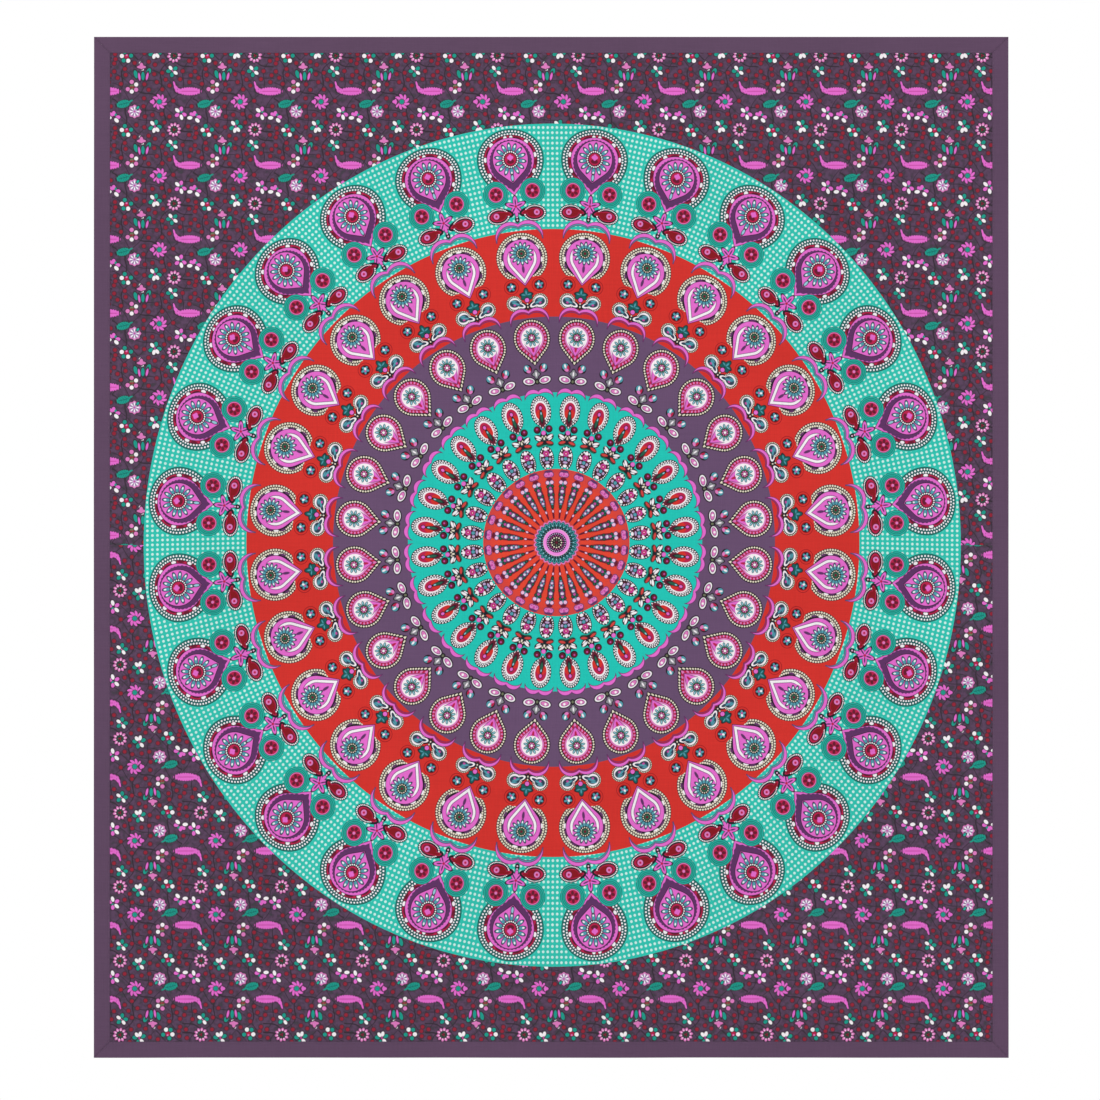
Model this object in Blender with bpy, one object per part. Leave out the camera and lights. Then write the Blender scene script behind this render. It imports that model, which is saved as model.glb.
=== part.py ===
"""Tapestry wall hanging: a printed cotton panel bound with four plain bands and hung by loops.

The cloth hangs in the XZ plane and faces -Y. The origin is the middle of the middle loop
patch's back face, so y = 0 is the wall. Everything else lies in front of the wall, in layers:
the loops, the patches that hold them, the bobbin threads, the bands' back leaves, the panel,
the bands' front leaves and the needle threads.
"""

import math

import bpy
from mathutils import Matrix, Vector

# Driving dimensions, in metres.
WIDTH = 2.15
HEIGHT = 2.40
BAND_WIDTH = 0.038
CLOTH = 0.0004
GAP = 0.0003
THREAD = 0.0004

# Seams: one row of lockstitch close to the inner edge of each band.
SEAM_INSET = 0.003
PANEL_EDGE_CLEARANCE = 0.002

# Hanging loops: a strip of folded cotton, sewn in a U under a patch near the top edge.
LOOP_COUNT = 5
LOOP_END_MARGIN = 0.060
LOOP_STRIP = 0.002
LOOP_STRIP_WIDTH = 0.008
LOOP_OPENING = 0.014
LOOP_LENGTH = 0.055
LOOP_HINGE_CLEARANCE = 0.001
ARC_STEPS = 20

# Patches: a low rim that is sewn down, and a raised block over the loop's two ends.
PATCH_WIDTH = 0.044
PATCH_RIM = 0.005
PATCH_DROP = 0.004
BLOCK_HEIGHT = 0.011
RIM_SEAM_INSET = 0.0025
TACK_RISE = 0.0025
TACK_LENGTH = 0.030
TACK_GROOVE = 0.001

# The origin is at the block's middle, so the top edge and the cloth's middle follow from it.
BLOCK_TOP = BLOCK_HEIGHT / 2
PATCH_TOP = BLOCK_TOP + PATCH_RIM
TOP_EDGE = PATCH_TOP + PATCH_DROP
CENTRE_Z = TOP_EDGE - HEIGHT / 2

# Layers, as distances in front of the wall, worked out from the wall forward.
LOOP_BACK = CLOTH + GAP
LOOP_FRONT = LOOP_BACK + LOOP_STRIP
BOBBIN_DEPTH = LOOP_FRONT + GAP + THREAD / 2
BAND_BACK = BOBBIN_DEPTH + THREAD / 2 + GAP
PANEL_BACK = BAND_BACK + CLOTH + GAP
PANEL_FRONT = PANEL_BACK + CLOTH
BAND_FRONT = PANEL_FRONT + GAP + CLOTH
NEEDLE_DEPTH = BAND_FRONT + GAP + THREAD / 2
PATCH_FRONT = BAND_BACK - GAP
RIM_BACK = PATCH_FRONT - CLOTH
RIM_THREAD_DEPTH = RIM_BACK - GAP - THREAD / 2
GROOVE_DEPTH = THREAD + 2 * GAP
TACK_DEPTH = GAP + THREAD / 2

# A loop folds about a line just below its block. Turned up, it lies just behind the wall face.
LOOP_DEPTH = (LOOP_BACK + LOOP_FRONT) / 2
HINGE_DEPTH = (LOOP_DEPTH - GAP - LOOP_STRIP / 2) / 2
HINGE_Z = -BLOCK_HEIGHT / 2 - GAP

COLOURS = {
    "printed_cotton": (0.16, 0.36, 0.33, 1.0),
    "band_cotton": (0.12, 0.067, 0.124, 1.0),
    "sewing_thread": (0.15, 0.09, 0.155, 1.0),
    "loop_cotton": (0.14, 0.08, 0.145, 1.0),
}
ROUGHNESS = {
    "printed_cotton": 0.9,
    "band_cotton": 0.9,
    "sewing_thread": 0.6,
    "loop_cotton": 0.9,
}


def clear_scene():
    for obj in list(bpy.data.objects):
        bpy.data.objects.remove(obj)


def make_collection(name):
    collection = bpy.data.collections.new(name)
    bpy.context.scene.collection.children.link(collection)
    return collection


def make_material(name):
    material = bpy.data.materials.new(name)
    material.use_nodes = True
    shader = material.node_tree.nodes["Principled BSDF"]
    shader.inputs["Base Color"].default_value = COLOURS[name]
    shader.inputs["Roughness"].default_value = ROUGHNESS[name]
    shader.inputs["Metallic"].default_value = 0.0
    return material


def move_to(obj, collection):
    for other in list(obj.users_collection):
        other.objects.unlink(obj)
    collection.objects.link(obj)


def add_box(name, low, high, collection):
    """A box between two corners, from the cube primitive, with its size in its mesh."""
    low, high = Vector(low), Vector(high)
    bpy.ops.mesh.primitive_cube_add(size=1.0, location=(low + high) / 2)
    obj = bpy.context.active_object
    obj.name = name
    obj.data.transform(Matrix.Diagonal((high - low).to_4d()))
    move_to(obj, collection)
    return obj


def as_mesh(curve_object, name, collection):
    """The curve object's evaluated mesh as an object of its own, with its caps welded."""
    bpy.context.view_layer.update()
    graph = bpy.context.evaluated_depsgraph_get()
    mesh = bpy.data.meshes.new_from_object(curve_object.evaluated_get(graph))
    obj = bpy.data.objects.new(name, mesh)
    obj.matrix_world = curve_object.matrix_world.copy()
    collection.objects.link(obj)
    curve = curve_object.data
    bpy.data.objects.remove(curve_object)
    bpy.data.curves.remove(curve)
    weld = obj.modifiers.new("weld_caps", "WELD")
    weld.merge_threshold = 0.00001
    return obj


def add_flat_outline(name, outline, thickness, collection):
    """A flat piece: a closed outline of (x, z) points around the origin, centred on y = 0."""
    curve = bpy.data.curves.new(name, "CURVE")
    curve.dimensions = "2D"
    curve.fill_mode = "BOTH"
    curve.extrude = thickness / 2
    spline = curve.splines.new("POLY")
    spline.points.add(len(outline) - 1)
    spline.use_cyclic_u = True
    for point, (x, z) in zip(spline.points, outline):
        point.co = (x, z, 0.0, 1.0)
    flat = bpy.data.objects.new(name + "_outline", curve)
    collection.objects.link(flat)
    flat.rotation_euler = (math.pi / 2, 0.0, 0.0)
    return as_mesh(flat, name, collection)


def add_thread(name, points, collection):
    """A sewing thread: a thin round tube along straight runs."""
    curve = bpy.data.curves.new(name, "CURVE")
    curve.dimensions = "3D"
    curve.bevel_depth = THREAD / 2
    curve.bevel_resolution = 2
    curve.use_fill_caps = True
    spline = curve.splines.new("POLY")
    spline.points.add(len(points) - 1)
    for point, place in zip(spline.points, points):
        point.co = (*place, 1.0)
    tube = bpy.data.objects.new(name + "_path", curve)
    collection.objects.link(tube)
    return as_mesh(tube, name, collection)


def combine(obj, other, operation):
    """Cut or join a piece with a helper shape, which stays out of the model itself."""
    other.hide_render = True
    other.display_type = "WIRE"
    boolean = obj.modifiers.new(f"{operation.lower()}_{other.name}", "BOOLEAN")
    boolean.operation = operation
    boolean.solver = "EXACT"
    boolean.object = other


def make_panel(parts, material):
    """The printed cloth. Its raw edges lie inside the folded bands."""
    inset = CLOTH + PANEL_EDGE_CLEARANCE
    low = (-WIDTH / 2 + inset, -PANEL_FRONT, TOP_EDGE - HEIGHT + inset)
    high = (WIDTH / 2 - inset, -PANEL_BACK, TOP_EDGE - inset)
    panel = add_box("printed_panel", low, high, parts)
    panel.data.materials.append(material)


def make_band(side, length, turn, parts, cutters, material):
    """One border band: cloth folded round the panel's edge, mitred at both ends.

    It is drawn along X with its fold at the top, then turned about Y into its place.
    """
    half = length / 2
    end_gap = GAP * math.sqrt(2) / 2
    outline = [
        (-half + end_gap, 0.0),
        (half - end_gap, 0.0),
        (half - end_gap - BAND_WIDTH, -BAND_WIDTH),
        (-half + end_gap + BAND_WIDTH, -BAND_WIDTH),
    ]
    thickness = BAND_FRONT - BAND_BACK
    band = add_flat_outline(side + "_border_band", outline, thickness, parts)
    pocket_half = thickness / 2 - CLOTH
    pocket = add_box(
        side + "_band_pocket",
        (-length, -pocket_half, -2 * BAND_WIDTH),
        (length, pocket_half, -CLOTH),
        cutters,
    )
    centre = Vector((0.0, -(BAND_FRONT + BAND_BACK) / 2, CENTRE_Z))
    reach = HEIGHT / 2 if side in ("top", "bottom") else WIDTH / 2
    place = Matrix.Translation(centre) @ Matrix.Rotation(turn, 4, "Y")
    place = place @ Matrix.Translation((0.0, 0.0, reach))
    band.matrix_world = place @ band.matrix_world
    pocket.matrix_world = place @ pocket.matrix_world
    combine(band, pocket, "DIFFERENCE")
    band.data.materials.append(material)


def make_seam(side, length, turn, parts, material):
    """The band's lockstitch: the needle thread in front and the bobbin thread behind."""
    inset = BAND_WIDTH - SEAM_INSET
    half = length / 2 - inset - THREAD
    reach = (HEIGHT if side in ("top", "bottom") else WIDTH) / 2 - inset
    place = Matrix.Translation((0.0, 0.0, CENTRE_Z)) @ Matrix.Rotation(turn, 4, "Y")
    for kind, depth in (("needle", NEEDLE_DEPTH), ("bobbin", BOBBIN_DEPTH)):
        ends = [place @ Vector((x, -depth, reach)) for x in (-half, half)]
        thread = add_thread(f"{side}_{kind}_thread", ends, parts)
        thread.data.materials.append(material)


def loop_outline():
    """A U of folded strip, open at the hinge line, as (x, z) points below that line."""
    outer = LOOP_OPENING / 2 + LOOP_STRIP_WIDTH
    inner = LOOP_OPENING / 2
    top = -LOOP_HINGE_CLEARANCE
    bend = -LOOP_LENGTH + outer
    angles = [math.pi * step / ARC_STEPS for step in range(ARC_STEPS + 1)]
    outside = [(outer * math.cos(a), bend - outer * math.sin(a)) for a in angles]
    inside = [(inner * math.cos(a), bend - inner * math.sin(a)) for a in reversed(angles)]
    return [(outer, top)] + outside + [(-outer, top), (-inner, top)] + inside + [(inner, top)]


def make_patch(number, x, parts, cutters, material):
    """The patch that is sewn over a loop's ends: a low rim with a raised, grooved block."""
    half = PATCH_WIDTH / 2
    block_half = half - PATCH_RIM
    patch = add_box(
        f"loop_patch_{number}",
        (x - half, -PATCH_FRONT, -BLOCK_TOP),
        (x + half, -RIM_BACK, PATCH_TOP),
        parts,
    )
    block = add_box(
        f"patch_block_{number}",
        (x - block_half, -PATCH_FRONT, -BLOCK_TOP),
        (x + block_half, 0.0, BLOCK_TOP),
        cutters,
    )
    groove = add_box(
        f"tack_groove_{number}",
        (x - TACK_LENGTH / 2 - GAP, -GROOVE_DEPTH, TACK_RISE - TACK_GROOVE / 2),
        (x + TACK_LENGTH / 2 + GAP, GAP, TACK_RISE + TACK_GROOVE / 2),
        cutters,
    )
    combine(patch, block, "UNION")
    combine(patch, groove, "DIFFERENCE")
    patch.data.materials.append(material)


def make_patch_stitches(number, x, parts, material):
    """The stitches round the patch's rim, and the straight tack across the loop's ends."""
    half = PATCH_WIDTH / 2 - RIM_SEAM_INSET
    low = -BLOCK_TOP + RIM_SEAM_INSET
    high = PATCH_TOP - RIM_SEAM_INSET
    corners = [(-half, low), (-half, high), (half, high), (half, low)]
    around = [(x + dx, -RIM_THREAD_DEPTH, z) for dx, z in corners]
    across = [(x + dx, -TACK_DEPTH, TACK_RISE) for dx in (-TACK_LENGTH / 2, TACK_LENGTH / 2)]
    for name, path in (("rim", around), ("tack", across)):
        thread = add_thread(f"loop_{name}_thread_{number}", path, parts)
        thread.data.materials.append(material)


def make_loop(number, x, parts, material):
    """A hanging loop, on an empty that stands on its fold line."""
    hinge = bpy.data.objects.new(f"loop_hinge_{number}", None)
    parts.objects.link(hinge)
    hinge.location = (x, -HINGE_DEPTH, HINGE_Z)
    loop = add_flat_outline(f"hanging_loop_{number}", loop_outline(), LOOP_STRIP, parts)
    loop.location = (0.0, HINGE_DEPTH - LOOP_DEPTH, 0.0)
    loop.parent = hinge
    loop.data.materials.append(material)


def main():
    clear_scene()
    parts = make_collection("tapestry_wall_hanging")
    cutters = make_collection("cutters")
    materials = {name: make_material(name) for name in COLOURS}

    make_panel(parts, materials["printed_cotton"])
    sides = {
        "top": (WIDTH, 0.0),
        "right": (HEIGHT, math.pi / 2),
        "bottom": (WIDTH, math.pi),
        "left": (HEIGHT, -math.pi / 2),
    }
    for side, (length, turn) in sides.items():
        make_band(side, length, turn, parts, cutters, materials["band_cotton"])
        make_seam(side, length, turn, parts, materials["sewing_thread"])

    span = WIDTH - 2 * LOOP_END_MARGIN
    for number in range(1, LOOP_COUNT + 1):
        x = -span / 2 + span * (number - 1) / (LOOP_COUNT - 1)
        make_patch(number, x, parts, cutters, materials["band_cotton"])
        make_patch_stitches(number, x, parts, materials["sewing_thread"])
        make_loop(number, x, parts, materials["loop_cotton"])


main()
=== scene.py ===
"""The looks of the tapestry wall hanging: its printed cloth, bands, stitches and loops.

The print is drawn by shader nodes, shape over shape, the way its screens were laid one after
another. The sizes in it are millimetres on the cloth.
"""

import math

import bmesh
import bpy
import numpy as np
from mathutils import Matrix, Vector


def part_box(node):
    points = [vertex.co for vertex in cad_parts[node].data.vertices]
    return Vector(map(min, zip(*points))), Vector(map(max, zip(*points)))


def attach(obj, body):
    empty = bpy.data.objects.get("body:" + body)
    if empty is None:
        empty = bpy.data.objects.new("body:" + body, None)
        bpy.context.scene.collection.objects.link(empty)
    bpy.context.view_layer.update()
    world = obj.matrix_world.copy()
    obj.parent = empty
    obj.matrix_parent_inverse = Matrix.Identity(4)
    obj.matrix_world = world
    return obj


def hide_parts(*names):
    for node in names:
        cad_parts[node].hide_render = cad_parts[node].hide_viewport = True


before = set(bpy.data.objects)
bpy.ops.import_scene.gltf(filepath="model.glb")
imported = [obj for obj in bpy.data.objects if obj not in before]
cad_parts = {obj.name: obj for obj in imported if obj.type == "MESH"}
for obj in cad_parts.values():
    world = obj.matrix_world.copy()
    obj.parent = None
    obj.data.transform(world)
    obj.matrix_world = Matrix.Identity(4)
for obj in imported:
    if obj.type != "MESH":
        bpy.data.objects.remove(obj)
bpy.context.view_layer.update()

TAU = 2 * math.pi
MM = 0.001

# ---------------------------------------------------------------- places, from the frame


def corners(node):
    return [Vector(corner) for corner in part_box(node)]


PANEL_LOW, PANEL_HIGH = corners("printed_panel")
BAND_LOW, BAND_HIGH = corners("top_border_band")
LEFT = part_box("left_border_band")[0][0]
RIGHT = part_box("right_border_band")[1][0]
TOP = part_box("top_border_band")[1][2]
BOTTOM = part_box("bottom_border_band")[0][2]
BAND_WIDTH = BAND_HIGH.z - BAND_LOW.z
CENTRE_X = (LEFT + RIGHT) / 2
CENTRE_Z = (TOP + BOTTOM) / 2
HALF_WIDTH = (RIGHT - LEFT) / 2
HALF_HEIGHT = (TOP - BOTTOM) / 2
CLOTH = 0.0004
THREAD = 0.0004
LOOP_NUMBERS = range(1, 6)

# ---------------------------------------------------------------- the print's layout, in mm

MOTIFS = 28
STEP = TAU / MOTIFS

# Each ring's outer edge: its radius in the print and, because the cloth has stretched a little,
# half its width and height on the cloth, and how far right and up its middle lies.
RINGS = {
    "centre_disc": (56, 56, 56.5, 12.5, 11),
    "ring_e": (172, 172, 173, 12, 11),
    "ring_d": (348, 346, 351.5, 9, 12.5),
    "ring_c": (517, 519.5, 529, 6.5, 13),
    "ring_b": (725, 720.5, 738, 4, 10),
    "ring_a": (962, 960.5, 991, 2.5, 5),
}
OUTER_RADIUS = RINGS["ring_a"][0]

# The floral ground repeats in tiles, which are turned upside down below the line HALVES_MEET.
TILE_WIDTH = 190
TILE_HEIGHT = 174
TILE_LEFT = -1032.5
TILE_TOP = 1145.5
HALVES_MEET = 5

SOFT = 1.1
LINE = 1.5
NEARLY_ROUND = 0.2


def srgb(red, green, blue):
    """A colour given as it looks on screen, 0 to 255, as linear light."""
    def linear(value):
        value /= 255
        return value / 12.92 if value <= 0.04045 else ((value + 0.055) / 1.055) ** 2.4
    return (linear(red), linear(green), linear(blue), 1.0)


INK = {name: srgb(*rgb) for name, rgb in {
    "ground": (92, 69, 94),
    "band": (96, 72, 97),
    "vine": (52, 43, 52),
    "vine_green": (50, 66, 58),
    "purple": (104, 78, 110),
    "teal": (46, 194, 176),
    "teal_bright": (34, 196, 181),
    "teal_pale": (206, 240, 234),
    "teal_deep": (38, 174, 157),
    "teal_dark": (24, 92, 90),
    "leaf": (30, 152, 136),
    "red": (210, 50, 44),
    "red_orange": (226, 70, 50),
    "red_rose": (208, 68, 64),
    "red_deep": (136, 22, 32),
    "crimson": (186, 34, 76),
    "maroon": (104, 28, 48),
    "berry": (148, 38, 56),
    "berry_edge": (92, 44, 60),
    "pink": (228, 108, 204),
    "pink_soft": (222, 124, 190),
    "pink_light": (240, 138, 222),
    "pink_pale": (240, 190, 224),
    "magenta": (196, 76, 160),
    "lavender": (190, 162, 204),
    "plum": (96, 52, 100),
    "white": (246, 240, 244),
    "cream": (232, 222, 200),
    "slate": (84, 156, 172),
    "slate_pale": (150, 200, 216),
    "slate_dark": (48, 66, 84),
    "black": (38, 32, 40),
    "green": (40, 96, 74),
    "olive": (110, 116, 90),
    "grey": (140, 140, 146),
}.items()}


class Painter:
    """Builds a material's nodes. Its shapes are painted one over another on its colour.

    They are placed in the coordinates of its point.
    """

    def __init__(self, name):
        self.material = bpy.data.materials.new(name)
        self.material.use_nodes = True
        self.tree = self.material.node_tree
        self.shader = self.tree.nodes["Principled BSDF"]
        self.colour = INK["ground"]
        self.point = None

    def feed(self, socket, value):
        if isinstance(value, bpy.types.NodeSocket):
            self.tree.links.new(value, socket)
        elif socket.type == "VECTOR":
            socket.default_value = value[:3]
        else:
            socket.default_value = value

    def node(self, kind, *values, output=0, named=None, **settings):
        """A new node's output. Its inputs are fed in order, or by their names or numbers."""
        node = self.tree.nodes.new("ShaderNode" + kind)
        for setting, value in settings.items():
            setattr(node, setting, value)
        inputs = named or dict(enumerate(values))
        for key, value in inputs.items():
            self.feed(node.inputs[key], value)
        return node.outputs[output]

    def math(self, operation, *values, clamp=False):
        return self.node("Math", *values, operation=operation, use_clamp=clamp)

    def times(self, value, factor):
        return self.math("MULTIPLY", value, factor)

    def times_plus(self, value, factor, addend):
        return self.math("MULTIPLY_ADD", value, factor, addend)

    def minus(self, value, other):
        return self.math("SUBTRACT", value, other)

    def wave(self, value, height):
        """Rises evenly from 0 to a height and falls back, over and over."""
        return self.math("PINGPONG", value, height)

    def vector(self, operation, *values):
        output = "Value" if operation in ("LENGTH", "DISTANCE") else "Vector"
        return self.node("VectorMath", *values, output=output, operation=operation)

    def scaled(self, point, factor):
        return self.node("VectorMath", named={"Vector": point, "Scale": factor}, operation="SCALE")

    def split(self, point):
        x = self.node("SeparateXYZ", point)
        return x, x.node.outputs[1]

    def join(self, x, y):
        return self.node("CombineXYZ", x, y)

    def length(self, x, y):
        return self.vector("LENGTH", self.join(x, y))

    def noise(self, point, scale, detail):
        inputs = {"Vector": point, "Scale": scale, "Detail": detail}
        return self.node("TexNoise", named=inputs, output="Fac")

    def placed(self, x, y, wide, high, turn=0):
        """The point, seen from a shape's middle in shares of its half-width and half-height."""
        point, x, y = self.seen(x, y)
        return self.node("Mapping", point, (x, y, 0), (0, 0, math.radians(turn)), (wide, high, 1),
                         vector_type="TEXTURE")

    def seen(self, x, y):
        """The coordinates in which a shape at a place is drawn, and the place in them."""
        return self.point, x, y

    def blob(self, x, y, wide, high=None, turn=0):
        """How far out of an ellipse the point lies: 1 is its edge."""
        high = high or wide
        if abs(wide - high) < NEARLY_ROUND * wide:
            return self.times(self.distance(x, y), 2 / (wide + high))
        return self.vector("LENGTH", self.placed(x, y, wide, high, turn))

    def distance(self, x, y):
        point, x, y = self.seen(x, y)
        return self.vector("DISTANCE", point, (x, y, 0))

    def nearest(self, distances):
        result = distances[0]
        for distance in distances[1:]:
            result = self.math("MINIMUM", result, distance)
        return result

    def inside(self, distance, edge=1, soft=SOFT):
        return self.math("MULTIPLY_ADD", distance, -1 / soft, edge / soft + 0.5, clamp=True)

    def cover(self, ink, mask):
        """Lays an ink over the colour where the mask is 1. A mix's colours are inputs 6 and 7."""
        ink = INK[ink] if isinstance(ink, str) else ink
        self.colour = self.node("Mix", named={0: mask, 6: self.colour, 7: ink}, output=2,
                                data_type="RGBA")

    def fill(self, ink, distance, edge=1, soft=SOFT):
        self.cover(ink, self.inside(distance, edge, soft))

    def fills(self, distance, soft=SOFT, **edges):
        """Fills ink over ink, each out to its own edge."""
        for ink, edge in edges.items():
            self.fill(ink, distance, edge, soft)

    def blobs(self, ink, *shapes, rim=None):
        """Ellipses in one ink, each (x, y, half-width, half-height, turn in degrees).

        The last two may be left out. A rim is the ink of the thin line drawn round them.
        """
        narrow = sum(min(shape[2:4]) for shape in shapes) / len(shapes)
        distance = self.nearest([self.blob(*shape) for shape in shapes])
        if rim:
            self.fill(rim, distance, 1 + LINE / narrow, SOFT / narrow)
        self.fill(ink, distance, soft=SOFT / narrow)

    def lay(self, *layers):
        """Blobs over blobs: each layer is its ink, its shapes and, if it has one, its rim."""
        for ink, *shapes in layers:
            rim = shapes.pop() if isinstance(shapes[-1], str) else None
            self.blobs(ink, *shapes, rim=rim)

    def line(self, ink, distance, radius, half):
        """A thin line at a distance."""
        self.fill(ink, self.math("ABSOLUTE", self.minus(distance, radius)), half)

    def teardrop(self, across, up, point_length):
        """The half-width of the drop that passes through a place. Its tip is straight down.

        Every drop has a round of that half-width, and a tip point_length half-widths below
        the round's middle.
        """
        sine = 1 / point_length
        cosine = math.sqrt(1 - sine * sine)
        flank = self.times_plus(across, cosine, self.times(up, -sine))
        along = self.times_plus(across, sine, self.times(up, cosine))
        return self.length(flank, self.math("MAXIMUM", along, 0))

    def spokes(self, angle, distance, count, radius, wide, high, phase=0):
        """How far out of the nearest of a ring of ellipses a place lies: 1 is the edge."""
        turns = self.times_plus(angle, count / TAU, phase)
        across = self.times(self.times(self.wave(turns, 0.5), distance), TAU / count / wide)
        return self.length(across, self.times_plus(distance, 1 / high, -radius / high))

    def dot_ring(self, ink, angle, distance, count, radius, dot, phase=0):
        place = self.spokes(angle, distance, count, radius, dot, dot, phase)
        self.fill(ink, place, soft=0.7 * SOFT / dot)

    def polar(self, x, y):
        """The angle and distance of the point as seen from a middle."""
        point, x, y = self.seen(x, y)
        away = self.vector("SUBTRACT", point, (x, y, 0))
        return self.angle(*self.split(away)), self.vector("LENGTH", away)

    def angle(self, across, up):
        """An angle that turns right from straight up."""
        return self.math("ARCTAN2", across, up)

    def cut_below(self, before, up, level):
        """Brings back an earlier colour below a level."""
        after, self.colour = self.colour, before
        self.cover(after, self.above(up, level))

    def above(self, up, level):
        """A mask of what lies above a level."""
        return self.math("MULTIPLY_ADD", up, 1 / SOFT, -level / SOFT, clamp=True)


def print_place(painter):
    """The print's own coordinates, in mm, which the cloth's mesh carries."""
    return painter.scaled(painter.node("UVMap", uv_map="print"), 1 / MM)


def folded_place(painter, colour):
    """Starts a ring in its colour, its places turned to the nearest motif and mirrored.

    Its shapes are then placed from that motif's line. Returns how far right and up a place lies
    in that view, and a function for the view from the line half-way to the next motif.
    """
    place = print_place(painter)
    radius = painter.vector("LENGTH", place)
    angle = painter.angle(*painter.split(place))
    from_boundary = painter.wave(angle, STEP / 2)

    def view(angle):
        right = painter.times(painter.math("SINE", angle), radius)
        return right, painter.times(painter.math("COSINE", angle), radius)

    u, v = view(painter.minus(STEP / 2, from_boundary))
    painter.point = painter.join(u, v)
    painter.colour = INK[colour]
    return u, v, lambda: view(from_boundary)


# The arches across the lines between rings: ellipses, from the outer one in. Their crescents end
# a little below the outer one's middle.
ARCH_AB = ((21, 712, 33, 36), (19, 704, 37.5, 34), (18, 699, 39.5, 34))
ARCH_BC = ((18, 512, 25, 29), (16.5, 505, 28.5, 27.5), (15.5, 500, 30.5, 28))
ARCH_CD = ((14, 338, 20, 18), (13, 333, 22.5, 16))
ARCH_TAIL = 4


def paint_arch(painter, ellipses, *inks):
    """Crescents from the inner one out. Each is what one ellipse leaves of the one round it."""
    for outer, inner, ink in reversed(list(zip(ellipses, ellipses[1:], inks))):
        far, near = painter.blob(*outer), painter.blob(*inner)
        high = outer[3]
        above = painter.above(painter.split(painter.point)[1], outer[1] - ARCH_TAIL)
        for colour, grow in (("plum", LINE / high), (ink, 0)):
            hole = painter.inside(near, 1 - grow, SOFT / high)
            whole = painter.inside(far, 1 + grow, SOFT / high)
            left = painter.math("SUBTRACT", whole, hole, clamp=True)
            painter.cover(colour, painter.times(left, above))


def paint_lace(painter, distance, angle, low, high, count, rows, dot, dots="cream",
               ground="black"):
    """A band of lace: pale dots in rows on a dark ground."""
    painter.line(ground, distance, (low + high) / 2, (high - low) / 2)
    for row, radius in enumerate(rows):
        painter.dot_ring(dots, angle, distance, count, radius, dot, 0.5 * (row % 2))


def paint_daisy(painter, middle, petals, reach, wide, long):
    """A round flower of narrow dark-edged petals. Returns the angle and distance from it."""
    angle, distance = painter.polar(0, middle)
    place = painter.spokes(angle, distance, petals, reach, wide, long)
    painter.fill("black", place, 1 + 1.3 / wide, SOFT / wide)
    painter.fill("slate", place, soft=SOFT / wide)
    tips = painter.spokes(angle, distance, petals, reach + 0.45 * long, 0.5 * wide, 0.36 * long)
    painter.fill("white", tips, soft=SOFT / wide)
    return angle, distance


def paint_beads(painter, ink, oval, reach, count, radius, wide, high):
    """Beads along an ellipse, in whose polar coordinates the distance at its edge is reach."""
    angle, _ = painter.polar(*oval[:2])
    distance = painter.times(painter.blob(*oval), reach)
    painter.fill(ink, painter.spokes(angle, distance, count, radius, wide, high), soft=0.5)


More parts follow.
